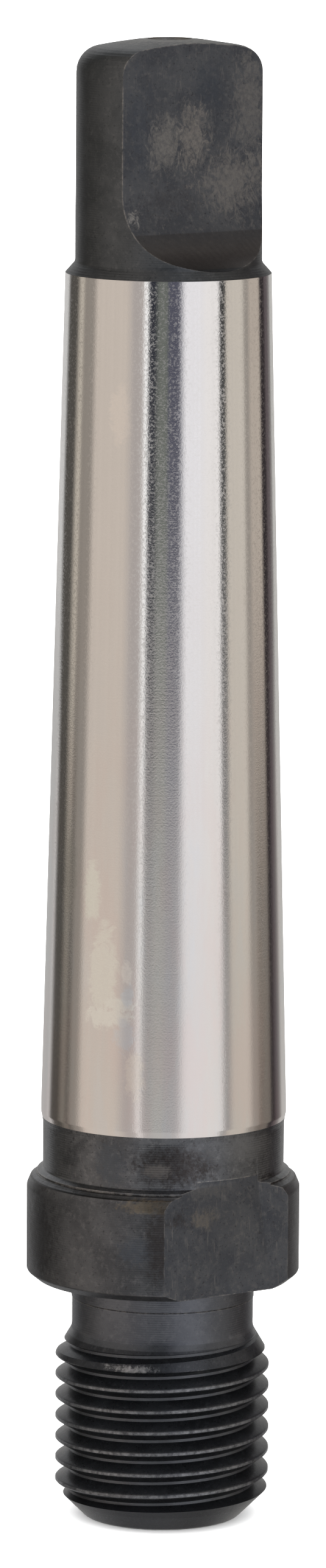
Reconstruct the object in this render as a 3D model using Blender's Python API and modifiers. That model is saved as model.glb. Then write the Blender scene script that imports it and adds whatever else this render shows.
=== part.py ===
"""Morse taper No. 2 chuck arbor with a 5/8 in-16 threaded nose.

One piece of steel, turned about +Z. The origin is the middle of the thread's end face, +Z runs up the
axis to the tang, and the tang's flats and the wrench flats face -Y and +Y.
"""
from math import atan2, cos, hypot, pi, radians, sin, tan

import bmesh
import bpy
from mathutils import Vector

MM = 0.001

# Overall, in millimetres
LENGTH = 109.6
STEPS_PER_TURN = 48
ARC_STEPS = 3

# Threaded nose: 5/8 in-16 UN, right-hand
THREAD_CREST_RADIUS = 7.92
THREAD_PITCH = 25.4 / 16
THREAD_FLANK = radians(30.0)
THREAD_DEPTH = 0.6134 * THREAD_PITCH
THREAD_ROOT_FLAT = THREAD_PITCH / 8
THREAD_START_ANGLE = radians(-33.0)
THREAD_CREST_AT_START = 0.256
THREAD_END = 12.15
NOSE_FACE_RADIUS = 5.78
NOSE_CHAMFER_TOP = 2.12

# Relief neck between the thread and the collar
RELIEF_BOTTOM = 14.2
RELIEF_RADIUS = 6.71

# Collar with two wrench flats
COLLAR_BOTTOM = 18.08
COLLAR_FACE_RADIUS = 9.42
COLLAR_CHAMFER_TOP = 18.62
COLLAR_RADIUS = 10.09
COLLAR_TOP = 25.38
WRENCH_SIZE = 17.0
WRENCH_FLAT_TOP = 26.8

# Upper neck
NECK_BOTTOM = 26.3
NECK_RADIUS = 8.91
NECK_TOP = 29.75

# Morse taper No. 2
TAPER_BOTTOM = 30.55
TAPER_RADIUS = 9.065
TAPER_TOP = 92.62
TAPER_RATE = 0.04995

# Tang
TANG_BOTTOM = 93.42
TANG_RADIUS = 6.8
TANG_SHOULDER = 108.85
TANG_CROWN_RADIUS = 2.6
TANG_CROWN_HEIGHT = 109.5
TANG_THICKNESS = 6.25
TANG_RUNOUT_RADIUS = 6.0
TANG_RUNOUT_CENTRE = 98.8

# 60 degree centre holes in both ends
CENTRE_MOUTH_RADIUS = 1.65
CENTRE_PILOT_RADIUS = 0.8
CENTRE_DEPTH = 3.6
CENTRE_FLANK = radians(30.0)

CUT_MARGIN = 1.0


def clear_scene():
    for old in list(bpy.data.objects):
        bpy.data.objects.remove(old, do_unlink=True)


def new_collection(name):
    collection = bpy.data.collections.new(name)
    bpy.context.scene.collection.children.link(collection)
    return collection


def new_object(name, mesh, collection):
    made = bpy.data.objects.new(name, mesh)
    collection.objects.link(made)
    return made


def steel_material():
    material = bpy.data.materials.new("blackened_steel")
    material.use_nodes = True
    shader = material.node_tree.nodes["Principled BSDF"]
    shader.inputs["Base Color"].default_value = (0.16, 0.16, 0.17, 1.0)
    shader.inputs["Metallic"].default_value = 1.0
    shader.inputs["Roughness"].default_value = 0.38
    return material


def fillet(before, corner, after, radius):
    """Points of the arc that rounds a corner of an outline."""
    to_before = (Vector(before) - Vector(corner)).normalized()
    to_after = (Vector(after) - Vector(corner)).normalized()
    half_angle = to_before.angle(to_after) / 2
    centre = Vector(corner) + (to_before + to_after).normalized() * radius / sin(half_angle)
    start = Vector(corner) + to_before * radius / tan(half_angle) - centre
    end = Vector(corner) + to_after * radius / tan(half_angle) - centre
    first = atan2(start.y, start.x)
    sweep = (atan2(end.y, end.x) - first + pi) % (2 * pi) - pi
    angles = [first + sweep * step / ARC_STEPS for step in range(ARC_STEPS + 1)]
    return [centre + radius * Vector((cos(angle), sin(angle))) for angle in angles]


def rounded(corners):
    """Outline through corners given as (radius from the axis, height, fillet radius)."""
    outline = [Vector(corners[0][:2])]
    for before, corner, after in zip(corners, corners[1:], corners[2:]):
        if corner[2]:
            outline += fillet(before[:2], corner[:2], after[:2], corner[2])
        else:
            outline.append(Vector(corner[:2]))
    outline.append(Vector(corners[-1][:2]))
    return outline


def centre_hole():
    """Radius and depth of the corners of a centre hole, from its mouth to its tip."""
    cone_depth = (CENTRE_MOUTH_RADIUS - CENTRE_PILOT_RADIUS) / tan(CENTRE_FLANK)
    tip_depth = CENTRE_DEPTH + CENTRE_PILOT_RADIUS * tan(CENTRE_FLANK)
    return [(CENTRE_MOUTH_RADIUS, 0.0), (CENTRE_PILOT_RADIUS, cone_depth),
            (CENTRE_PILOT_RADIUS, CENTRE_DEPTH), (0.0, tip_depth)]


def blank_outline():
    """Half section of the turned blank, from the upper centre hole down the outside to the lower one."""
    taper_top_radius = TAPER_RADIUS - (TAPER_TOP - TAPER_BOTTOM) * TAPER_RATE / 2
    upper_hole = [(radius, LENGTH - depth, 0) for radius, depth in reversed(centre_hole())]
    outside = [
        (TANG_CROWN_RADIUS, TANG_CROWN_HEIGHT, 1.0),
        (TANG_RADIUS, TANG_SHOULDER, 1.9),
        (TANG_RADIUS, TANG_BOTTOM, 0.5),
        (taper_top_radius, TAPER_TOP, 0.05),
        (TAPER_RADIUS, TAPER_BOTTOM, 0.4),
        (NECK_RADIUS, NECK_TOP, 0.5),
        (NECK_RADIUS, NECK_BOTTOM, 0.15),
        (COLLAR_RADIUS, COLLAR_TOP, 1.1),
        (COLLAR_RADIUS, COLLAR_CHAMFER_TOP, 0.25),
        (COLLAR_FACE_RADIUS, COLLAR_BOTTOM, 0),
        (RELIEF_RADIUS, COLLAR_BOTTOM, 0.2),
        (RELIEF_RADIUS, RELIEF_BOTTOM, 1.2),
        (THREAD_CREST_RADIUS, THREAD_END, 0),
        (THREAD_CREST_RADIUS, NOSE_CHAMFER_TOP, 0),
        (NOSE_FACE_RADIUS, 0.0, 0.5),
    ]
    lower_hole = [(radius, depth, 0) for radius, depth in centre_hole()]
    return rounded(upper_hole + outside + lower_hole)


def turned_blank(collection):
    mesh = bpy.data.meshes.new("arbor")
    points = [Vector((point.x, 0.0, point.y)) * MM for point in blank_outline()]
    mesh.from_pydata(points, [(index, index + 1) for index in range(len(points) - 1)], [])
    blank = new_object("arbor", mesh, collection)
    screw = blank.modifiers.new("turn", "SCREW")
    screw.steps = screw.render_steps = STEPS_PER_TURN
    screw.use_merge_vertices = True
    screw.merge_threshold = 1e-6
    return blank


def extruded_cutter(name, outline, half_length, collection):
    """Closed solid from an outline of (y, z) points, drawn out along X to both sides."""
    bm = bmesh.new()
    corners = [bm.verts.new(Vector((-half_length, y, z)) * MM) for y, z in outline]
    drawn = bmesh.ops.extrude_face_region(bm, geom=[bm.faces.new(corners)])
    moved = [item for item in drawn["geom"] if isinstance(item, bmesh.types.BMVert)]
    bmesh.ops.translate(bm, vec=Vector((2 * half_length * MM, 0.0, 0.0)), verts=moved)
    return cutter_from(bm, name, collection)


def cutter_from(bm, name, collection):
    bmesh.ops.recalc_face_normals(bm, faces=bm.faces)
    mesh = bpy.data.meshes.new(name)
    bm.to_mesh(mesh)
    bm.free()
    cutter = new_object(name, mesh, collection)
    cutter.hide_render = True
    cutter.display_type = "WIRE"
    return cutter


def tang_cutter(side, collection):
    """Leaves one flat of the tang, with the run-out of a round cutter at its foot."""
    flat = TANG_THICKNESS / 2
    reach = TANG_RADIUS + CUT_MARGIN
    lowest = pi + atan2((TANG_RUNOUT_RADIUS ** 2 - (flat + TANG_RUNOUT_RADIUS - reach) ** 2) ** 0.5,
                        flat + TANG_RUNOUT_RADIUS - reach)
    steps = 4 * ARC_STEPS
    angles = [pi + (lowest - pi) * step / steps for step in range(steps + 1)]
    outline = [(flat, LENGTH + CUT_MARGIN)]
    outline += [(flat + TANG_RUNOUT_RADIUS * (1 + cos(angle)),
                 TANG_RUNOUT_CENTRE + TANG_RUNOUT_RADIUS * sin(angle)) for angle in angles]
    outline.append((reach, LENGTH + CUT_MARGIN))
    mirrored = [(side * y, z) for y, z in outline]
    return extruded_cutter("tang_cutter", mirrored, TANG_RADIUS + CUT_MARGIN, collection)


def wrench_cutter(side, collection):
    """Leaves one wrench flat, open at the collar's underside and stopping in the upper neck."""
    flat = WRENCH_SIZE / 2
    reach = COLLAR_RADIUS + CUT_MARGIN
    bottom = COLLAR_BOTTOM - CUT_MARGIN
    outline = [(side * flat, WRENCH_FLAT_TOP), (side * flat, bottom),
               (side * reach, bottom), (side * reach, WRENCH_FLAT_TOP)]
    return extruded_cutter("wrench_cutter", outline, COLLAR_RADIUS + CUT_MARGIN, collection)


def thread_cutter(collection):
    """One helical V groove with a flat root, from below the end face up into the relief neck."""
    root_radius = THREAD_CREST_RADIUS - THREAD_DEPTH
    outer_radius = THREAD_CREST_RADIUS + 0.05 * THREAD_PITCH
    root_half = THREAD_ROOT_FLAT / 2
    outer_half = root_half + (outer_radius - root_radius) * tan(THREAD_FLANK)
    turns_below = 2
    turns = turns_below + int(RELIEF_BOTTOM / THREAD_PITCH) + 1
    groove_middle = THREAD_CREST_AT_START + (0.5 - turns_below) * THREAD_PITCH
    section = [(root_radius, -root_half), (outer_radius, -outer_half),
               (outer_radius, outer_half), (root_radius, root_half)]
    bm = bmesh.new()
    start = Vector((cos(THREAD_START_ANGLE), sin(THREAD_START_ANGLE), 0.0))
    corners = [bm.verts.new((start * radius + Vector((0, 0, groove_middle + rise))) * MM)
               for radius, rise in section]
    first_face = bm.faces.new(corners)
    steps = turns * STEPS_PER_TURN
    bmesh.ops.spin(bm, geom=[first_face], axis=(0, 0, 1), cent=(0, 0, 0), angle=turns * 2 * pi,
                   dvec=(0, 0, THREAD_PITCH * MM / STEPS_PER_TURN), steps=steps,
                   use_merge=False, use_duplicate=False)
    return cutter_from(bm, "thread_cutter", collection)


def cut(target, cutter):
    boolean = target.modifiers.new(cutter.name, "BOOLEAN")
    boolean.operation = "DIFFERENCE"
    boolean.solver = "EXACT"
    boolean.object = cutter


def finish_mesh(target):
    """Keeps the cut shape as a plain mesh, smooth except at its edges."""
    evaluated = target.evaluated_get(bpy.context.evaluated_depsgraph_get())
    mesh = bpy.data.meshes.new_from_object(evaluated)
    mesh.name = target.name
    target.modifiers.clear()
    target.data = mesh
    mesh.shade_smooth()
    mesh.set_sharp_from_angle(angle=radians(30.0))


def build():
    clear_scene()
    parts = new_collection("morse_taper_chuck_arbor")
    cutters = new_collection("cutters")
    arbor = turned_blank(parts)
    for side in (-1, 1):
        cut(arbor, tang_cutter(side, cutters))
        cut(arbor, wrench_cutter(side, cutters))
    cut(arbor, thread_cutter(cutters))
    finish_mesh(arbor)
    arbor.data.materials.clear()
    arbor.data.materials.append(steel_material())


build()
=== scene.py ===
from math import atan2, cos, pi, radians, sin, sqrt, tan

import bmesh
import bpy
from mathutils import Matrix, Vector


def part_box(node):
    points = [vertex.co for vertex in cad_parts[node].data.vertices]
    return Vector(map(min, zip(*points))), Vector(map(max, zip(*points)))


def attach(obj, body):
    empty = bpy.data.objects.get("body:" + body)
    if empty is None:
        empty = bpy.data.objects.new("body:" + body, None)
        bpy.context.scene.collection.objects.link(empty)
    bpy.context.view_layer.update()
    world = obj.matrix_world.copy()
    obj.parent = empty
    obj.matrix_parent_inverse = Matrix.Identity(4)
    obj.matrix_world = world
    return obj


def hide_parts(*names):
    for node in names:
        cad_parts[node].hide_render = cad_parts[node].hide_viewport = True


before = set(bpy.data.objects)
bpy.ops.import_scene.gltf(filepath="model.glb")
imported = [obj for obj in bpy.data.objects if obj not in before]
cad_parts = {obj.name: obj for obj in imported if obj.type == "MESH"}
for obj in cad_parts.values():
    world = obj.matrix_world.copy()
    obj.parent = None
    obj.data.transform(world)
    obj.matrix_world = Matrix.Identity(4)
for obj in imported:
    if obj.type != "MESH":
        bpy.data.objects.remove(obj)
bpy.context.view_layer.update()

MM = 0.001
NODE = "arbor"
low_corner, high_corner = (Vector(corner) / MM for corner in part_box(NODE))

# Sizes in millimetres, from the frame where its box gives them
LENGTH = high_corner.z
COLLAR_RADIUS = high_corner.x
TAPER_RADIUS = high_corner.y

STEPS_PER_TURN = 192
ARC_STEPS = 7
RUNOUT_STEPS = 42
BRACE = 0.08

THREAD_CREST_RADIUS = 7.92
THREAD_PITCH = 25.4 / 16
THREAD_FLANK = radians(30.0)
THREAD_DEPTH = 0.6134 * THREAD_PITCH
THREAD_ROOT_FLAT = THREAD_PITCH / 8
# The flank stops this far below the crest, and then curves over it: (outward, sideways) from there
CREST_ROUNDING = 0.16
CREST_CURVE = [(0.10, 0.075), (0.15, 0.135), (0.21, 0.19)]
THREAD_START_ANGLE = radians(-33.0)
THREAD_CREST_AT_START = 0.256
THREAD_END = 12.15
NOSE_FACE_RADIUS = 5.78
NOSE_CHAMFER_TOP = 2.12

RELIEF_BOTTOM = 14.2
RELIEF_RADIUS = 6.71
RELIEF_STEP = 16.58
RELIEF_STEP_HEIGHT = 0.05

COLLAR_BOTTOM = 18.08
COLLAR_FACE_RADIUS = 9.42
COLLAR_CHAMFER_TOP = 18.62
COLLAR_TOP = 24.95
SHOULDER_EDGE_RADIUS = 9.83
SHOULDER_EDGE = 25.58
SHOULDER_STEP_RADIUS = 9.34
SHOULDER_STEP = 26.06
SHOULDER_STEP_HEIGHT = 0.14
WRENCH_SIZE = 17.0
WRENCH_FLAT_TOP = 26.8

NECK_BOTTOM = 26.3
NECK_RADIUS = 8.91
NECK_TOP = 29.75
GROUND_START = 30.15

TAPER_BOTTOM = 30.55
TAPER_TOP = 92.62
TAPER_RATE = 0.04995

TANG_BOTTOM = 93.42
TANG_RADIUS = 6.8
TANG_SHOULDER = 108.85
TANG_CROWN_RADIUS = 2.6
TANG_CROWN_HEIGHT = 109.5
TANG_THICKNESS = 6.25
TANG_RUNOUT_RADIUS = 6.0
TANG_RUNOUT_CENTRE = 98.8
RUNOUT_SHADE_TOP = 95.8

CENTRE_MOUTH_RADIUS = 1.65
CENTRE_PILOT_RADIUS = 0.8
CENTRE_DEPTH = 3.6
CENTRE_FLANK = radians(30.0)

CUT_MARGIN = 1.0
TURNS_BELOW_END = 2
SHARP_EDGE = radians(22.0)

# Material slots of the bar, one for each finish
GROUND, TURNED, MILLED, THREADED = range(4)
# How a face is told to be milled: parts of its normal, and distances from the crown and the flats
NO_SLOPE = 1e-3
SOME_SLOPE = 0.01
CROWN_MARGIN = 0.1
FLAT_MARGIN = 1.0

CAMERA_AZIMUTH = radians(-33.2)
CAMERA_ELEVATION = radians(9.03)
CAMERA_DISTANCE = 604.4
CAMERA_AIM_HEIGHT = 54.89
CAMERA_SIDESTEP = -0.184
CAMERA_ROLL = radians(0.334)
CAMERA_LENS = 188.8
CAMERA_SENSOR = 36.0
CAMERA_CLIP = (0.01, 20.0)

FLOOR_HALF_SIZE = 6.0


# ---------------------------------------------------------------- geometry

def fillet(before, corner, after, radius):
    """Points of the arc that rounds a corner of an outline."""
    to_before = (Vector(before) - Vector(corner)).normalized()
    to_after = (Vector(after) - Vector(corner)).normalized()
    half_angle = to_before.angle(to_after) / 2
    centre = Vector(corner) + (to_before + to_after).normalized() * radius / sin(half_angle)
    start = Vector(corner) + to_before * radius / tan(half_angle) - centre
    end = Vector(corner) + to_after * radius / tan(half_angle) - centre
    first = atan2(start.y, start.x)
    sweep = (atan2(end.y, end.x) - first + pi) % (2 * pi) - pi
    angles = [first + sweep * step / ARC_STEPS for step in range(ARC_STEPS + 1)]
    return [centre + radius * Vector((cos(angle), sin(angle))) for angle in angles]


def rounded(corners):
    """Outline through corners given as (radius from the axis, height, fillet radius)."""
    outline = [Vector(corners[0][:2])]
    for before, corner, after in zip(corners, corners[1:], corners[2:]):
        if corner[2]:
            outline += fillet(before[:2], corner[:2], after[:2], corner[2])
        else:
            outline.append(Vector(corner[:2]))
    outline.append(Vector(corners[-1][:2]))
    return outline


def braced(outline):
    """Adds a point just inside both ends of each long straight, so that its shading stays straight."""
    points = [outline[0]]
    for start, end in zip(outline, outline[1:]):
        run = end - start
        if run.length > 4 * BRACE:
            points += [start + run.normalized() * BRACE, end - run.normalized() * BRACE]
        points.append(end)
    return points


def centre_hole():
    """Radius and depth of the corners of a centre hole, from its mouth to its tip."""
    cone_depth = (CENTRE_MOUTH_RADIUS - CENTRE_PILOT_RADIUS) / tan(CENTRE_FLANK)
    tip_depth = CENTRE_DEPTH + CENTRE_PILOT_RADIUS * tan(CENTRE_FLANK)
    return [(CENTRE_MOUTH_RADIUS, 0.0), (CENTRE_PILOT_RADIUS, cone_depth),
            (CENTRE_PILOT_RADIUS, CENTRE_DEPTH), (0.0, tip_depth)]


def blank_outline():
    """Half section of the turned blank, from the upper centre hole down the outside to the lower one."""
    taper_top_radius = TAPER_RADIUS - (TAPER_TOP - TAPER_BOTTOM) * TAPER_RATE / 2
    upper_hole = [(radius, LENGTH - depth, 0) for radius, depth in reversed(centre_hole())]
    outside = [
        (TANG_CROWN_RADIUS, TANG_CROWN_HEIGHT, 1.0),
        (TANG_RADIUS, TANG_SHOULDER, 1.9),
        (TANG_RADIUS, TANG_BOTTOM, 0.5),
        (taper_top_radius, TAPER_TOP, 0.05),
        (TAPER_RADIUS, TAPER_BOTTOM, 0.4),
        ((TAPER_RADIUS + NECK_RADIUS) / 2, GROUND_START, 0),
        (NECK_RADIUS, NECK_TOP, 0.5),
        (NECK_RADIUS, NECK_BOTTOM, 0.15),
        (SHOULDER_STEP_RADIUS, SHOULDER_STEP, 0),
        (SHOULDER_STEP_RADIUS, SHOULDER_STEP - SHOULDER_STEP_HEIGHT, 0),
        (SHOULDER_EDGE_RADIUS, SHOULDER_EDGE, 0.06),
        (COLLAR_RADIUS, COLLAR_TOP, 0.4),
        (COLLAR_RADIUS, COLLAR_CHAMFER_TOP, 0.25),
        (COLLAR_FACE_RADIUS, COLLAR_BOTTOM, 0.05),
        (RELIEF_RADIUS + RELIEF_STEP_HEIGHT, COLLAR_BOTTOM, 0.2),
        (RELIEF_RADIUS + RELIEF_STEP_HEIGHT, RELIEF_STEP, 0),
        (RELIEF_RADIUS, RELIEF_STEP - RELIEF_STEP_HEIGHT, 0),
        (RELIEF_RADIUS, RELIEF_BOTTOM, 1.2),
        (THREAD_CREST_RADIUS, THREAD_END, 0),
        (THREAD_CREST_RADIUS, NOSE_CHAMFER_TOP, 0),
        (NOSE_FACE_RADIUS, 0.0, 0.5),
    ]
    lower_hole = [(radius, depth, 0) for radius, depth in centre_hole()]
    return braced(rounded(upper_hole + outside + lower_hole))


def new_object(name, mesh):
    made = bpy.data.objects.new(name, mesh)
    bpy.context.scene.collection.objects.link(made)
    return made


def turned_blank(name):
    mesh = bpy.data.meshes.new(name)
    points = [Vector((point.x, 0.0, point.y)) * MM for point in blank_outline()]
    mesh.from_pydata(points, [(index, index + 1) for index in range(len(points) - 1)], [])
    blank = new_object(name, mesh)
    screw = blank.modifiers.new("turn", "SCREW")
    screw.steps = screw.render_steps = STEPS_PER_TURN
    screw.use_merge_vertices = True
    screw.merge_threshold = 1e-6
    return blank


def cutter_from(bm, name):
    bmesh.ops.recalc_face_normals(bm, faces=bm.faces)
    mesh = bpy.data.meshes.new(name)
    bm.to_mesh(mesh)
    bm.free()
    return new_object(name, mesh)


def extruded_cutter(name, outline, half_length):
    """Closed solid from an outline of (y, z) points, drawn out along X to both sides."""
    bm = bmesh.new()
    corners = [bm.verts.new(Vector((-half_length, y, z)) * MM) for y, z in outline]
    drawn = bmesh.ops.extrude_face_region(bm, geom=[bm.faces.new(corners)])
    moved = [item for item in drawn["geom"] if isinstance(item, bmesh.types.BMVert)]
    bmesh.ops.translate(bm, vec=Vector((2 * half_length * MM, 0.0, 0.0)), verts=moved)
    return cutter_from(bm, name)


def tang_cutter(side):
    """Leaves one flat of the tang, with the run-out of a round cutter at its foot."""
    flat = TANG_THICKNESS / 2
    reach = TANG_RADIUS + CUT_MARGIN
    across = flat + TANG_RUNOUT_RADIUS - reach
    lowest = pi + atan2(sqrt(TANG_RUNOUT_RADIUS ** 2 - across ** 2), across)
    angles = [pi + (lowest - pi) * step / RUNOUT_STEPS for step in range(RUNOUT_STEPS + 1)]
    outline = [(flat, LENGTH + CUT_MARGIN)]
    outline += [(flat + TANG_RUNOUT_RADIUS * (1 + cos(angle)),
                 TANG_RUNOUT_CENTRE + TANG_RUNOUT_RADIUS * sin(angle)) for angle in angles]
    outline.append((reach, LENGTH + CUT_MARGIN))
    return extruded_cutter("tang_cutter", [(side * y, z) for y, z in outline], TANG_RADIUS + CUT_MARGIN)


def wrench_cutter(side):
    """Leaves one wrench flat, open at the collar's underside and stopping in the upper neck."""
    flat = WRENCH_SIZE / 2
    reach = COLLAR_RADIUS + CUT_MARGIN
    bottom = COLLAR_BOTTOM - CUT_MARGIN
    outline = [(side * flat, WRENCH_FLAT_TOP), (side * flat, bottom),
               (side * reach, bottom), (side * reach, WRENCH_FLAT_TOP)]
    return extruded_cutter("wrench_cutter", outline, COLLAR_RADIUS + CUT_MARGIN)


def thread_section():
    """Corners of the groove's section as (radius, half width), from root to mouth, with rounded crests."""
    root_radius = THREAD_CREST_RADIUS - THREAD_DEPTH
    root_half = THREAD_ROOT_FLAT / 2
    flank_top = THREAD_DEPTH - CREST_ROUNDING
    flank_half = root_half + flank_top * tan(THREAD_FLANK)
    curve = [(root_radius + flank_top + out, flank_half + aside) for out, aside in CREST_CURVE]
    return [(root_radius, root_half), (root_radius + flank_top, flank_half)] + curve


def thread_cutter():
    """One helical V groove with a flat root, from below the end face up into the relief neck."""
    turns = TURNS_BELOW_END + int(RELIEF_BOTTOM / THREAD_PITCH) + 1
    groove_middle = THREAD_CREST_AT_START + (0.5 - TURNS_BELOW_END) * THREAD_PITCH
    upper_half = thread_section()
    section = [(radius, -width) for radius, width in upper_half] + upper_half[::-1]
    start = Vector((cos(THREAD_START_ANGLE), sin(THREAD_START_ANGLE), 0.0))
    bm = bmesh.new()
    corners = [bm.verts.new((start * radius + Vector((0, 0, groove_middle + rise))) * MM)
               for radius, rise in section]
    first_face = bm.faces.new(corners)
    bmesh.ops.spin(bm, geom=[first_face], axis=(0, 0, 1), cent=(0, 0, 0), angle=turns * 2 * pi,
                   dvec=(0, 0, THREAD_PITCH * MM / STEPS_PER_TURN), steps=turns * STEPS_PER_TURN,
                   use_merge=False, use_duplicate=False)
    return cutter_from(bm, "thread_cutter")


def cut(target, cutter):
    boolean = target.modifiers.new(cutter.name, "BOOLEAN")
    boolean.operation = "DIFFERENCE"
    boolean.solver = "EXACT"
    boolean.object = cutter


def settle(target, cutters):
    """Keeps the cut shape as a plain mesh, smooth except at its edges, and removes the cutters."""
    evaluated = target.evaluated_get(bpy.context.evaluated_depsgraph_get())
    mesh = bpy.data.meshes.new_from_object(evaluated)
    target.modifiers.clear()
    target.data = mesh
    for cutter in cutters:
        bpy.data.objects.remove(cutter, do_unlink=True)
    mesh.shade_smooth()
    mesh.set_sharp_from_angle(angle=SHARP_EDGE)


def finish_slot(face):
    """Material slot of the finish that a face has."""
    centre = face.center / MM
    faces_front_or_back = abs(face.normal.x) < NO_SLOPE and abs(face.normal.y) > SOME_SLOPE
    on_tang = TANG_BOTTOM < centre.z < LENGTH - CROWN_MARGIN and abs(centre.y) < TANG_RADIUS
    beside_neck = abs(centre.y) > NECK_RADIUS - FLAT_MARGIN
    on_wrench_flat = COLLAR_BOTTOM < centre.z < WRENCH_FLAT_TOP and beside_neck
    if faces_front_or_back and (on_wrench_flat or on_tang):
        return MILLED
    if GROUND_START < centre.z < TAPER_TOP:
        return GROUND
    return THREADED if centre.z < RELIEF_BOTTOM else TURNED


def make_arbor():
    arbor = turned_blank("arbor_bar")
    cutters = [tang_cutter(-1), tang_cutter(1), wrench_cutter(-1), wrench_cutter(1), thread_cutter()]
    for cutter in cutters:
        cut(arbor, cutter)
    settle(arbor, cutters)
    arbor.data.materials.clear()
    for material in (ground_steel(), turned_black(), milled_black(), thread_black()):
        arbor.data.materials.append(material)
    for face in arbor.data.polygons:
        face.material_index = finish_slot(face)
    return arbor


# ---------------------------------------------------------------- node helpers

def feed(tree, socket, value):
    if isinstance(value, bpy.types.NodeSocket):
        tree.links.new(value, socket)
    else:
        socket.default_value = value


def node(tree, kind, inputs, **settings):
    made = tree.nodes.new("ShaderNode" + kind)
    for name, value in settings.items():
        setattr(made, name, value)
    for name, value in inputs.items():
        feed(tree, made.inputs[name], value)
    return made


def math(tree, operation, first, second=0.0):
    return node(tree, "Math", {0: first, 1: second}, operation=operation).outputs[0]


def times(tree, first, *others):
    for other in others:
        first = math(tree, "MULTIPLY", first, other)
    return first


def plus(tree, first, *others):
    for other in others:
        first = math(tree, "ADD", first, other)
    return first


def outside(tree, mask):
    """1 where a mask is 0, and 0 where it is 1."""
    return math(tree, "SUBTRACT", 1.0, mask)


def vector(tree, operation, first, second):
    return node(tree, "VectorMath", {0: first, 1: second}, operation=operation).outputs[0]


def scaled(tree, first, by):
    return node(tree, "VectorMath", {0: first, "Scale": by}, operation="SCALE").outputs[0]


def length(tree, first):
    return node(tree, "VectorMath", {0: first}, operation="LENGTH").outputs["Value"]


def axes(tree, place):
    parts = node(tree, "SeparateXYZ", {0: place}).outputs
    return parts[0], parts[1], parts[2]


def step(tree, value, low, high):
    """0 at low, 1 at high, smooth between; high may be the smaller one."""
    inputs = {"Value": value, "From Min": low, "From Max": high}
    return node(tree, "MapRange", inputs, interpolation_type="SMOOTHSTEP").outputs["Result"]


def band(tree, value, rise, fall):
    """1 between two edges, each given as (where it is 0, where it is 1)."""
    return times(tree, step(tree, value, *rise), step(tree, value, *fall))


def ranged(tree, value, low, high, to_low, to_high):
    inputs = {"Value": value, "From Min": low, "From Max": high, "To Min": to_low, "To Max": to_high}
    return node(tree, "MapRange", inputs).outputs["Result"]


def mix(tree, factor, first, second):
    return node(tree, "Mix", {0: factor, 6: first, 7: second}, data_type="RGBA").outputs[2]


def tint(tree, colour, mask, strength, second):
    """Lays a second colour over the first where a mask says."""
    return mix(tree, times(tree, mask, strength), colour, second)


def noise(tree, place, scale=1.0, detail=3.0, roughness=0.55, distortion=0.0):
    inputs = {"Vector": place, "Scale": scale, "Detail": detail, "Roughness": roughness,
              "Distortion": distortion}
    return node(tree, "TexNoise", inputs).outputs["Fac"]


def stretched(tree, place, scale, slant=0.0):
    """Place for a pattern with its own scale along X, Y and Z, slanted in the plane of the flats."""
    inputs = {"Vector": place, "Rotation": (0.0, slant, 0.0), "Scale": scale}
    return node(tree, "Mapping", inputs).outputs["Vector"]


def patch(tree, place, centre, size, ragged, softness):
    """Ragged island around centre: 1 inside, 0 outside; size is its half extent along X, Y and Z."""
    offset = vector(tree, "SUBTRACT", place, centre)
    distance = length(tree, vector(tree, "DIVIDE", offset, size))
    return step(tree, math(tree, "SUBTRACT", ragged, distance), -softness, softness)


def ring(tree, height, at, half_width):
    """1 on a line round the part at one height, fading to 0 a half width away."""
    away = math(tree, "ABSOLUTE", math(tree, "SUBTRACT", height, at))
    return step(tree, away, half_width, 0.3 * half_width)


def edge_mask(tree, width_mm, low, high):
    """1 along outer edges within a width of them, 0 elsewhere."""
    rounded_normal = node(tree, "Bevel", {"Radius": width_mm * MM}, samples=6).outputs["Normal"]
    flat_normal = node(tree, "NewGeometry", {}).outputs["Normal"]
    alike = node(tree, "VectorMath", {0: rounded_normal, 1: flat_normal},
                 operation="DOT_PRODUCT").outputs["Value"]
    return step(tree, alike, high, low)


def bump(tree, height, depth_mm, normal=None):
    inputs = {"Height": height, "Strength": 1.0, "Distance": depth_mm * MM}
    if normal is not None:
        inputs["Normal"] = normal
    return node(tree, "Bump", inputs).outputs["Normal"]


def start_material(name, metallic=0.0):
    """A new material with its tree, its shader and the place on the object in millimetres."""
    material = bpy.data.materials.new(name)
    material.use_nodes = True
    tree = material.node_tree
    shader = tree.nodes["Principled BSDF"]
    shader.inputs["Metallic"].default_value = metallic
    position = node(tree, "TexCoord", {}).outputs["Object"]
    return material, tree, shader, scaled(tree, position, 1 / MM)


def finish_shader(tree, shader, colour, roughness, normal):
    feed(tree, shader.inputs["Base Color"], colour)
    feed(tree, shader.inputs["Roughness"], roughness)
    feed(tree, shader.inputs["Normal"], normal)


# ---------------------------------------------------------------- finishes

# Linear colours of the ground steel: clean, in cloudy patches, at the big end, and its two stains
STEEL = (0.94, 0.935, 0.93, 1.0)
STEEL_CLOUDED = (0.87, 0.86, 0.85, 1.0)
STEEL_DULL = (0.82, 0.80, 0.79, 1.0)
STEEL_WARM = (0.87, 0.80, 0.785, 1.0)
STEEL_COOL = (0.82, 0.85, 0.88, 1.0)

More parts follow.
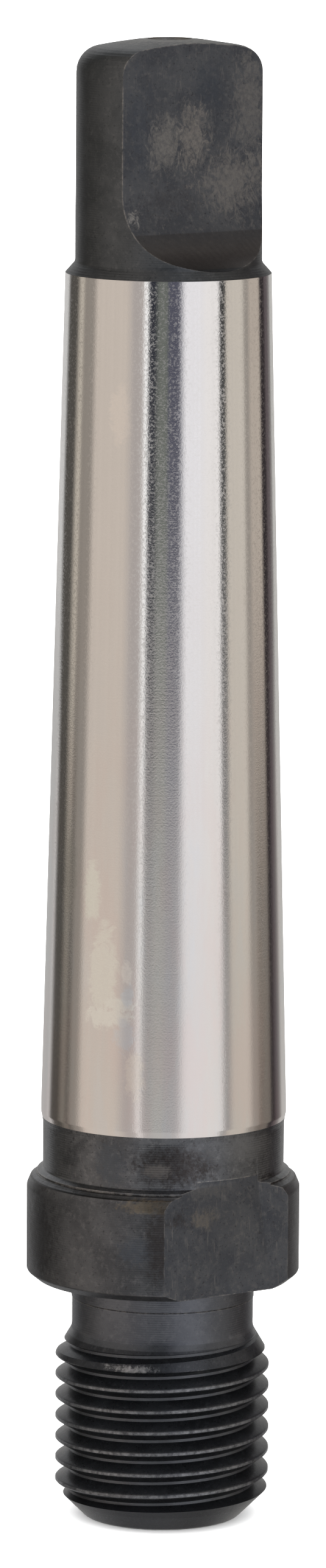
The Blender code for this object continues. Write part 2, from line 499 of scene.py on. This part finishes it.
# Dark, middle and light tone of the black oxide on each kind of surface, and where it differs; among them
# painted shade and painted highlights, as noted at each
TURNED_OXIDE = ((0.104, 0.110, 0.121, 1.0), (0.166, 0.175, 0.190, 1.0), (0.290, 0.297, 0.312, 1.0))
MILLED_OXIDE = ((0.084, 0.092, 0.110, 1.0), (0.118, 0.127, 0.144, 1.0), (0.225, 0.225, 0.226, 1.0))
THREAD_OXIDE = ((0.040, 0.043, 0.049, 1.0), (0.060, 0.065, 0.074, 1.0), (0.105, 0.111, 0.123, 1.0))
RELIEF_OXIDE = (0.148, 0.163, 0.196, 1.0)
COLLAR_OXIDE = (0.078, 0.082, 0.090, 1.0)
TANG_OXIDE = (0.076, 0.088, 0.095, 1.0)
RUNOUT_OXIDE = (0.070, 0.070, 0.075, 1.0)
RUNOUT_FOOT_OXIDE = (0.152, 0.142, 0.136, 1.0)
# painted highlight line along the thread roots
ROOT_HIGHLIGHT = (0.150, 0.160, 0.178, 1.0)
# painted shade on the downward-facing nose chamfer
NOSE_SHADE = (0.045, 0.047, 0.053, 1.0)
# painted shade in the step corners
CORNER_SHADE = (0.014, 0.014, 0.015, 1.0)
STREAK = (0.240, 0.238, 0.236, 1.0)
# lighter along the edges: scuffed oxide, and also a painted edge highlight
EDGE_SCUFF_AND_HIGHLIGHT = (0.44, 0.43, 0.42, 1.0)
# lighter along the crests: scuffed oxide, and also a painted highlight line
CREST_SCUFF_AND_HIGHLIGHT = (0.290, 0.300, 0.320, 1.0)

FLOOR_TONES = ((0.93, 0.93, 0.93, 1.0), (0.95, 0.95, 0.95, 1.0))

# Heights in millimetres between which the ground finish dulls downwards
DULLING = (80.0, 32.0)
# Heights on the taper between which the neck's tone of black gives way to the tang's
BLACK_DIVIDE = (70.0, 71.0)

TOOL_RING_SPACING = 0.17
MILL_ARC_SPACING = 0.42
MILL_ARC_CENTRE = (-7.0, -3.1, 88.0)
MILL_MARK_SLANT = radians(18.0)
STREAK_SLANT = radians(-32.0)
STAIN_SLANT = radians(-24.0)
EDGE_WEAR_WIDTH = 0.17

# Ragged marks left on the taper by handling and storage: centre, half extent, colour over the
# steel, strength of the colour and added roughness.
TAPER_MARKS = [
    ((-8.17, -2.80, 47.9), (0.75, 0.75, 2.6), (0.96, 1.00, 0.945), 0.90, 0.03),
    ((-7.86, -3.92, 42.1), (1.25, 1.25, 3.6), (0.965, 0.985, 0.940), 0.90, 0.03),
    ((-7.70, -4.40, 38.9), (1.90, 1.90, 0.75), (0.98, 1.00, 0.970), 1.00, 0.04),
    ((-7.30, -5.00, 39.9), (1.20, 1.20, 0.55), (0.98, 1.00, 0.965), 1.00, 0.04),
    ((-6.90, -5.50, 42.2), (0.40, 0.40, 1.1), (1.00, 0.99, 0.960), 0.90, 0.06),
    ((-6.90, -5.55, 40.6), (0.55, 0.55, 0.9), (0.84, 0.90, 0.95), 0.90, 0.00),
    ((-6.95, -5.50, 37.6), (0.95, 0.95, 1.2), (0.83, 0.865, 0.91), 0.90, 0.00),
    ((-8.55, -0.60, 49.0), (0.70, 0.70, 3.2), (0.70, 0.70, 0.68), 0.70, 0.05),
    ((-6.60, -6.10, 34.8), (0.80, 0.80, 1.9), (1.00, 0.93, 0.86), 0.80, 0.05),
    ((-6.60, -4.00, 83.0), (0.90, 0.90, 2.2), (1.00, 0.97, 0.94), 0.80, 0.06),
]

# Marks in the black oxide, the same way: on the tang's flat, the turned surfaces, the wrench flat
# and the thread.
# One turned mark below is a painted shadow under the ledge where the wrench flat stops.
TANG_MARKS = [
    ((1.20, -3.12, 106.2), (1.6, 1.6, 1.9), (0.077, 0.090, 0.115), 0.80, -0.05),
    ((-4.70, -3.12, 103.5), (1.4, 1.4, 4.0), (0.090, 0.105, 0.134), 0.60, 0.00),
    ((-2.00, -3.12, 98.0), (3.0, 3.0, 1.2), (0.077, 0.079, 0.090), 0.70, 0.00),
    ((-2.40, -3.12, 102.3), (1.6, 1.6, 2.2), (0.285, 0.280, 0.271), 0.80, 0.05),
    ((0.00, -3.12, 102.6), (1.5, 1.5, 2.7), (0.295, 0.282, 0.269), 0.85, 0.05),
    ((3.40, -3.12, 99.3), (3.0, 3.0, 2.6), (0.262, 0.254, 0.245), 0.80, 0.05),
    ((4.90, -3.12, 104.8), (1.7, 1.7, 4.4), (0.236, 0.233, 0.230), 0.75, 0.04),
    ((-5.25, -3.12, 96.8), (0.62, 0.62, 0.70), (0.460, 0.460, 0.452), 0.95, 0.05),
]
TURNED_MARKS_AND_SHADOW = [
    ((-4.20, -7.80, 28.0), (3.2, 3.2, 1.5), (0.046, 0.038, 0.037), 0.85, 0.04),
    ((-5.30, -7.20, 27.7), (1.1, 1.1, 0.55), (0.294, 0.283, 0.274), 0.55, 0.05),
    ((-7.60, -4.60, 28.0), (1.3, 1.3, 1.8), (0.109, 0.127, 0.153), 0.70, 0.00),
    ((1.30, -8.80, 28.9), (3.4, 2.0, 1.1), (0.218, 0.227, 0.240), 0.60, 0.03),
    ((-6.30, -7.64, 25.2), (2.0, 2.0, 0.55), (0.294, 0.250, 0.185), 0.80, -0.03),
    # painted shadow under the ledge where the wrench flat stops in the neck
    ((4.40, -8.40, 26.2), (1.3, 1.3, 0.6), (0.031, 0.030, 0.032), 0.90, 0.00),
    ((-6.90, -7.20, 21.9), (1.6, 1.6, 1.1), (0.104, 0.122, 0.150), 0.70, 0.00),
    ((-5.70, -8.30, 22.5), (1.1, 1.1, 3.0), (0.056, 0.049, 0.048), 0.80, 0.03),
    ((-9.90, 1.40, 22.0), (1.6, 2.6, 3.0), (0.044, 0.045, 0.049), 0.70, 0.03),
    ((0.00, 0.00, 109.4), (3.6, 3.6, 0.5), (0.333, 0.330, 0.322), 0.70, 0.05),
]
FLAT_MARKS = [
    ((-2.02, -8.50, 24.0), (1.4, 1.4, 0.8), (0.224, 0.208, 0.185), 0.75, 0.03),
    ((-4.37, -8.50, 24.0), (1.0, 1.0, 0.8), (0.051, 0.047, 0.047), 0.75, 0.03),
    ((-1.60, -8.50, 26.0), (2.6, 2.6, 0.6), (0.192, 0.192, 0.192), 0.55, 0.03),
]
# scuffed patches on the first crests of the thread, painted lighter as highlights
THREAD_SCUFF_HIGHLIGHTS = [
    ((-6.03, -5.10, 12.5), (1.9, 1.9, 0.30), (0.384, 0.396, 0.411), 0.85, 0.03),
    ((-1.50, -7.80, 12.2), (1.4, 1.4, 0.25), (0.282, 0.283, 0.288), 0.70, 0.03),
]


def marked(tree, place, base, roughness, marks, spread, solid=0.0, softness=0.38):
    """Lays ragged local marks over a base colour and a roughness; solid ones keep fewer gaps."""
    ragged = ranged(tree, spread, 0.32, 0.68, solid - 0.10, 1.50 - 0.35 * solid)
    fine = noise(tree, place, scale=3.6, detail=6.0, roughness=0.72, distortion=0.5)
    texture = ranged(tree, fine, 0.36, 0.62, 0.35 + 0.6 * solid, 1.0)
    for centre, size, colour, strength, added in marks:
        inside = times(tree, patch(tree, place, centre, size, ragged, softness), texture)
        base = tint(tree, base, inside, strength, (*colour, 1.0))
        roughness = plus(tree, roughness, times(tree, inside, added))
    return base, roughness


def ground_steel():
    """Cylindrically ground taper: bright, finely grained, duller and stained towards its big end."""
    material, tree, shader, place = start_material("ground_steel", metallic=1.0)
    height = axes(tree, place)[2]
    downward = step(tree, height, *DULLING)
    grain = noise(tree, stretched(tree, place, (9.0, 9.0, 8.0)), detail=2.0, roughness=0.6)
    fine_rings = noise(tree, stretched(tree, place, (0.25, 0.25, 9.0)), detail=2.0, roughness=0.6)
    cloud = noise(tree, stretched(tree, place, (0.16, 0.16, 0.05)), detail=4.0, roughness=0.6)
    stain = noise(tree, stretched(tree, place, (0.40, 0.40, 0.09)), detail=4.0, roughness=0.65)

    spots = step(tree, noise(tree, place, scale=5.5, roughness=0.65), 0.50, 0.60)
    roughness = plus(tree, ranged(tree, downward, 0.0, 1.0, 0.050, 0.130),
                     ranged(tree, cloud, 0.35, 0.7, -0.012, 0.04),
                     times(tree, spots, ranged(tree, downward, 0.0, 1.0, 0.14, 0.03)))

    base = mix(tree, cloud, STEEL, STEEL_CLOUDED)
    base = tint(tree, base, downward, 0.75, STEEL_DULL)
    warm = times(tree, step(tree, stain, 0.44, 0.62), downward)
    base = tint(tree, base, warm, 0.75, STEEL_WARM)
    cool = times(tree, step(tree, stain, 0.46, 0.34), downward)
    base = tint(tree, base, cool, 0.5, STEEL_COOL)

    spread = noise(tree, place, scale=0.75, detail=6.0, roughness=0.70, distortion=1.2)
    base, roughness = marked(tree, place, base, roughness, TAPER_MARKS, spread, 0.60, 0.24)
    normal = bump(tree, fine_rings, 0.0010, bump(tree, grain, 0.0030))
    finish_shader(tree, shader, base, roughness, normal)
    return material


def scuffed_and_highlit_edges(tree, place, base, strength):
    """Oxide lighter, unevenly, along the edges: scuffed there, and also a painted edge highlight."""
    uneven = step(tree, noise(tree, place, scale=1.6, detail=5.0, roughness=0.75), 0.38, 0.62)
    edge_scuff_and_highlight = times(tree, edge_mask(tree, EDGE_WEAR_WIDTH, 0.90, 0.995), uneven)
    return tint(tree, base, edge_scuff_and_highlight, strength, EDGE_SCUFF_AND_HIGHLIGHT)


def oxide_colour(tree, place, tones, contrast=1.0):
    """Mottled colour of a black-oxidised surface, from its dark, middle and light tone."""
    dark, middle, light = tones
    pore = (dark[0] * 0.6, dark[1] * 0.55, dark[2] * 0.55, 1.0)
    broad = noise(tree, place, scale=0.32, detail=4.0, roughness=0.6, distortion=0.4)
    fine = noise(tree, place, scale=2.2, detail=5.0, roughness=0.72)
    speck = noise(tree, place, scale=8.0, roughness=0.6)
    turned = node(tree, "Mapping", {"Vector": place, "Rotation": (0.4, 0.3, 0.0),
                                    "Scale": (4.5, 4.5, 4.5)}).outputs["Vector"]
    pores = noise(tree, turned, detail=4.0, roughness=0.65)
    tone = mix(tree, step(tree, broad, 0.36, 0.64), dark, middle)
    tone = tint(tree, tone, step(tree, fine, 0.48, 0.74), 0.55 * contrast, light)
    tone = tint(tree, tone, step(tree, speck, 0.58, 0.72), 0.45 * contrast, light)
    return tint(tree, tone, step(tree, pores, 0.58, 0.68), 0.75 * contrast, pore)


def turned_black():
    """Black oxide over turned surfaces, with fine rings left by the tool, painted shade lines in the step
    corners and a painted shadow under the wrench flat's ledge.
    """
    material, tree, shader, place = start_material("black_oxide_turned", metallic=1.0)
    height = axes(tree, place)[2]
    above_relief = step(tree, height, COLLAR_BOTTOM - 0.3, COLLAR_BOTTOM + 0.1)
    on_collar = times(tree, above_relief, step(tree, height, SHOULDER_EDGE, COLLAR_TOP))
    on_tang = step(tree, height, *BLACK_DIVIDE)
    colour = oxide_colour(tree, place, TURNED_OXIDE)
    colour = tint(tree, colour, outside(tree, above_relief), 0.5, RELIEF_OXIDE)
    colour = tint(tree, colour, on_collar, 0.30, COLLAR_OXIDE)
    colour = tint(tree, colour, on_tang, 0.50, TANG_OXIDE)
    # painted shade: dark lines round the part at the shoulder step, the relief step and the shoulder edge
    corner_shade_lines = plus(tree, ring(tree, height, SHOULDER_STEP - SHOULDER_STEP_HEIGHT, 0.10),
                        ring(tree, height, RELIEF_STEP, 0.07),
                        ring(tree, height, SHOULDER_EDGE + 0.04, 0.07))
    colour = tint(tree, colour, corner_shade_lines, 0.75, CORNER_SHADE)

    wobble = times(tree, noise(tree, place, scale=0.5, detail=2.0), 0.10)
    turns = times(tree, plus(tree, height, wobble), 2 * pi / TOOL_RING_SPACING)
    uneven = noise(tree, stretched(tree, place, (0.5, 0.5, 7.0)), roughness=0.6)
    tool_rings = times(tree, math(tree, "SINE", turns), ranged(tree, uneven, 0.3, 0.7, 0.15, 0.8))
    pits = noise(tree, place, scale=8.0, roughness=0.6)

    on_neck = times(tree, step(tree, height, COLLAR_TOP, NECK_BOTTOM), outside(tree, on_tang))
    roughness = math(tree, "SUBTRACT", ranged(tree, pits, 0.3, 0.7, 0.34, 0.46),
                     times(tree, on_neck, 0.08))
    spread = noise(tree, place, scale=2.4, detail=6.0, roughness=0.75)
    colour, roughness = marked(tree, place, colour, roughness, TURNED_MARKS_AND_SHADOW, spread, 0.45)
    normal = bump(tree, pits, 0.005, bump(tree, tool_rings, 0.0045))
    finish_shader(tree, shader, scuffed_and_highlit_edges(tree, place, colour, 0.85), roughness, normal)
    return material


def milled_black():
    """Black oxide over milled flats: fine slanting tool marks and lighter cloudy patches."""
    material, tree, shader, place = start_material("black_oxide_milled", metallic=1.0)
    height = axes(tree, place)[2]
    colour = oxide_colour(tree, place, MILLED_OXIDE, 0.85)
    slanted = stretched(tree, place, (4.5, 4.5, 0.6), STREAK_SLANT)
    streaks = step(tree, noise(tree, slanted, roughness=0.6), 0.58, 0.74)
    colour = tint(tree, colour, streaks, 0.45, STREAK)

    mill_marks = noise(tree, stretched(tree, place, (9.0, 9.0, 0.7), MILL_MARK_SLANT), roughness=0.6)
    reach = length(tree, vector(tree, "SUBTRACT", place, MILL_ARC_CENTRE))
    mill_arcs = math(tree, "SINE", times(tree, reach, 2 * pi / MILL_ARC_SPACING))
    pits = noise(tree, place, scale=6.0, roughness=0.6)
    roughness = ranged(tree, pits, 0.3, 0.7, 0.34, 0.46)
    brushed = stretched(tree, place, (1.5, 1.5, 0.9), STAIN_SLANT)
    spread = noise(tree, brushed, detail=7.0, roughness=0.80, distortion=0.9)
    colour, roughness = marked(tree, place, colour, roughness, TANG_MARKS + FLAT_MARKS, spread,
                               softness=0.42)

    run_out = band(tree, height, (RUNOUT_SHADE_TOP + 0.06, RUNOUT_SHADE_TOP - 0.06),
                   (TAPER_TOP - 1.0, TAPER_TOP))
    run_out_colour = mix(tree, step(tree, height, RUNOUT_SHADE_TOP, TANG_BOTTOM),
                         RUNOUT_OXIDE, RUNOUT_FOOT_OXIDE)
    colour = tint(tree, colour, run_out, 0.70, run_out_colour)
    normal = bump(tree, mill_arcs, 0.0016, bump(tree, mill_marks, 0.004))
    normal = bump(tree, pits, 0.006, normal)
    finish_shader(tree, shader, scuffed_and_highlit_edges(tree, place, colour, 0.8), roughness, normal)
    return material


def thread_black():
    """Black oxide on the thread, lighter along the crests where scuffed and as a painted highlight line,
    with a painted highlight line at the roots and painted shade on the nose chamfer.
    """
    material, tree, shader, place = start_material("black_oxide_thread", metallic=0.94)
    height = axes(tree, place)[2]
    radius = length(tree, vector(tree, "MULTIPLY", place, (1.0, 1.0, 0.0)))
    root_radius = THREAD_CREST_RADIUS - THREAD_DEPTH
    crest = step(tree, radius, THREAD_CREST_RADIUS - 0.06, THREAD_CREST_RADIUS - 0.015)
    root = step(tree, radius, root_radius + 0.05, root_radius + 0.01)
    crest_scuff_and_glint = noise(tree, place, scale=2.6, detail=6.0, roughness=0.75)
    colour = oxide_colour(tree, place, THREAD_OXIDE)
    # lighter crests: scuffed oxide, and a painted highlight line along them
    colour = tint(tree, colour, times(tree, crest, ranged(tree, crest_scuff_and_glint, 0.38, 0.62, 0.15, 1.0)), 0.8,
                  CREST_SCUFF_AND_HIGHLIGHT)
    # painted highlight line along the thread roots
    colour = tint(tree, colour, root, 0.45, ROOT_HIGHLIGHT)
    pits = noise(tree, place, scale=6.0, roughness=0.6)
    roughness = ranged(tree, pits, 0.3, 0.7, 0.26, 0.36)
    spread = noise(tree, place, scale=2.4, detail=6.0, roughness=0.75)
    colour, roughness = marked(tree, place, colour, roughness, THREAD_SCUFF_HIGHLIGHTS, spread)
    # painted shade: the downward-facing nose chamfer darkened
    nose = step(tree, height, NOSE_CHAMFER_TOP + 0.1, NOSE_CHAMFER_TOP - 0.1)
    colour = tint(tree, colour, nose, 0.75, NOSE_SHADE)
    finish_shader(tree, shader, colour, roughness, bump(tree, pits, 0.005))
    return material


def floor_material():
    material, tree, shader, place = start_material("pale_floor")
    tone = mix(tree, noise(tree, place, scale=0.02, detail=2.0), *FLOOR_TONES)
    feed(tree, shader.inputs["Base Color"], tone)
    shader.inputs["Roughness"].default_value = 0.8
    return material


# ---------------------------------------------------------------- studio

def make_floor():
    mesh = bpy.data.meshes.new("floor")
    bm = bmesh.new()
    bmesh.ops.create_grid(bm, x_segments=2, y_segments=2, size=FLOOR_HALF_SIZE)
    bm.to_mesh(mesh)
    bm.free()
    floor = new_object("floor", mesh)
    mesh.materials.append(floor_material())
    floor.visible_glossy = False


# Light and dark walls of the light tent as the camera's side sees them mirrored in the taper:
# start and end in degrees to the right of the camera, and brightness.
LEFT_WALLS = [
    (-180, -147.5, (0.60, 0.59, 0.58)),
    (-139, -121, (0.082, 0.076, 0.068)),
    (-113, -108, (0.50, 0.45, 0.385)),
    (-106, -91, (0.28, 0.25, 0.22)),
    (-84, -46, (0.58, 0.51, 0.45)),
    (-38, -27.5, (0.43, 0.39, 0.37)),
    (-25, -22, (0.98, 0.97, 0.96)),
    (-20.8, -14, (0.028, 0.030, 0.040)),
    (-10, -1, (0.138, 0.148, 0.134)),
]
RIGHT_WALLS = [
    (1, 12, (0.085, 0.086, 0.115)),
    (19, 34, (0.83, 0.815, 0.84)),
    (44, 57.5, (0.84, 0.81, 0.80)),
    (58.7, 65.2, (0.052, 0.052, 0.052)),
    (67, 90, (0.58, 0.53, 0.47)),
    (93, 98, (0.31, 0.28, 0.25)),
    (102, 119, (0.47, 0.41, 0.355)),
    (122, 131, (0.034, 0.028, 0.030)),
    (134, 140, (0.11, 0.09, 0.095)),
    (145, 147, (0.20, 0.185, 0.18)),
    (153, 180, (0.52, 0.51, 0.49)),
]
OPEN_LIGHT = (3.0, 3.0, 3.0, 1.0)

# The big end of the taper mirrors the walls from lower down, where they look different. Each pair
# is (where it starts, where it is full), as the upward part of a direction or in degrees.
LOWER_WALLS = (-0.112, -0.142)
SOFT_WALLS = (-0.070, -0.138)
BACK_WALLS = (124.0, 136.0)
BACK_SLIDE = (-8.0, 5.0)
SIDE_WALLS = ((98.0, 104.0), (124.0, 118.0))
SIDE_DIMMING = 0.62
LEFT_EDGE = (-138.0, -146.0)
LEFT_EDGE_DIMMING = 0.22
LEFT_WALL = ((-94.0, -86.0), (-24.0, -28.0))
LEFT_WALL_DIMMING = -0.10
FRONT_START = (-27.0, -24.0)
FRONT_END = 66.0
FRONT_RIGHT = (50.0, 58.0)
FRONT_RIGHT_SOFTNESS = 0.72
SOFT_CONTRAST = 0.40
SOFT_LIGHT = (0.460, 0.443, 0.428)
SEAMS_PER_DEGREE = 0.45
SEAM_UNEVENNESS = (0.93, 1.07)


def wall_ramp(tree, turn, walls):
    """Colour of the tent's wall at a turn of 0 to 1 from behind, round by the left, to behind."""
    made = node(tree, "ValToRGB", {"Fac": turn})
    stops = made.color_ramp.elements
    places = [(edge, colour) for start, end, colour in walls for edge in (start, end)]
    while len(stops) < len(places):
        stops.new(1.0)
    for stop, (edge, colour) in zip(stops, places):
        stop.position = (edge + 180.0) / 360.0
        stop.color = (*colour, 1.0)
    return made.outputs["Color"]


def wall_colour(tree, angle, sideways, lower):
    """Colour of the walls at an angle from the camera; those at the back slide round lower down."""
    on_right = math(tree, "GREATER_THAN", angle, 0.0)
    slide = times(tree, ranged(tree, on_right, 0.0, 1.0, *BACK_SLIDE), lower,
                  step(tree, sideways, *BACK_WALLS))
    turn = ranged(tree, plus(tree, angle, slide), -180.0, 180.0, 0.0, 1.0)
    return mix(tree, on_right, wall_ramp(tree, turn, LEFT_WALLS), wall_ramp(tree, turn, RIGHT_WALLS))


def wall_brightness(tree, angle, sideways, lower):
    """Slight unevenness from seam to seam, and walls that are dimmer or brighter lower down."""
    dimming = plus(tree, times(tree, band(tree, sideways, *SIDE_WALLS), SIDE_DIMMING),
                   times(tree, step(tree, angle, *LEFT_EDGE), LEFT_EDGE_DIMMING),
                   times(tree, band(tree, angle, *LEFT_WALL), LEFT_WALL_DIMMING))
    seams = node(tree, "TexNoise", {"W": angle, "Scale": SEAMS_PER_DEGREE, "Detail": 3.0},
                 noise_dimensions="1D")
    uneven = ranged(tree, seams.outputs["Fac"], 0.3, 0.7, *SEAM_UNEVENNESS)
    return times(tree, uneven, outside(tree, times(tree, dimming, lower)))


def softened_front(tree, angle, up, walls):
    """Lower down the walls in front have less contrast."""
    front = times(tree, step(tree, angle, *FRONT_START), math(tree, "LESS_THAN", angle, FRONT_END))
    less = ranged(tree, step(tree, angle, *FRONT_RIGHT), 0.0, 1.0, 1.0, FRONT_RIGHT_SOFTNESS)
    soft = times(tree, front, less, step(tree, up, *SOFT_WALLS))
    softened = vector(tree, "ADD", scaled(tree, walls, SOFT_CONTRAST), SOFT_LIGHT)
    return mix(tree, soft, walls, softened)


def make_world():
    """A light tent: plain white light, but walls of their own that only mirror reflections show."""
    world = bpy.data.worlds.new("light_tent")
    bpy.context.scene.world = world
    world.use_nodes = True
    world.cycles.sampling_method = "NONE"
    tree = world.node_tree
    tree.nodes.clear()
    direction = node(tree, "TexCoord", {}).outputs["Generated"]
    turned = node(tree, "VectorRotate", {"Vector": direction, "Angle": -CAMERA_AZIMUTH},
                  rotation_type="Z_AXIS").outputs[0]
    right, away, up = axes(tree, turned)
    azimuth = math(tree, "ARCTAN2", right, times(tree, away, -1.0))
    angle = ranged(tree, azimuth, -pi, pi, -180.0, 180.0)
    sideways = math(tree, "ABSOLUTE", angle)
    lower = step(tree, up, *LOWER_WALLS)
    walls = scaled(tree, wall_colour(tree, angle, sideways, lower),
                   wall_brightness(tree, angle, sideways, lower))
    walls = softened_front(tree, angle, up, walls)
    mirrored = node(tree, "LightPath", {}).outputs["Is Glossy Ray"]
    light = mix(tree, mirrored, OPEN_LIGHT, walls)
    background = node(tree, "Background", {"Color": light, "Strength": 1.0})
    output = node(tree, "OutputWorld", {})
    tree.links.new(background.outputs[0], output.inputs["Surface"])


def make_camera():
    back = Vector((sin(CAMERA_AZIMUTH) * cos(CAMERA_ELEVATION),
                   -cos(CAMERA_AZIMUTH) * cos(CAMERA_ELEVATION), sin(CAMERA_ELEVATION)))
    rightward = Vector((cos(CAMERA_AZIMUTH), sin(CAMERA_AZIMUTH), 0.0))
    aim = Vector((0.0, 0.0, CAMERA_AIM_HEIGHT))
    place = (aim + back * CAMERA_DISTANCE + rightward * CAMERA_SIDESTEP) * MM
    upward = back.cross(rightward)
    turn = Matrix((rightward, upward, back)).transposed() @ Matrix.Rotation(CAMERA_ROLL, 3, "Z")
    data = bpy.data.cameras.new("camera")
    data.sensor_width = CAMERA_SENSOR
    data.lens = CAMERA_LENS
    data.clip_start, data.clip_end = CAMERA_CLIP
    camera = new_object("camera", data)
    camera.matrix_world = Matrix.Translation(place) @ turn.to_4x4()
    bpy.context.scene.camera = camera


def main():
    make_camera()
    make_world()
    make_floor()
    arbor = make_arbor()
    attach(arbor, "root")
    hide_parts(NODE)
    bpy.context.scene.view_settings.view_transform = "Standard"


main()
bpy.context.view_layer.update()
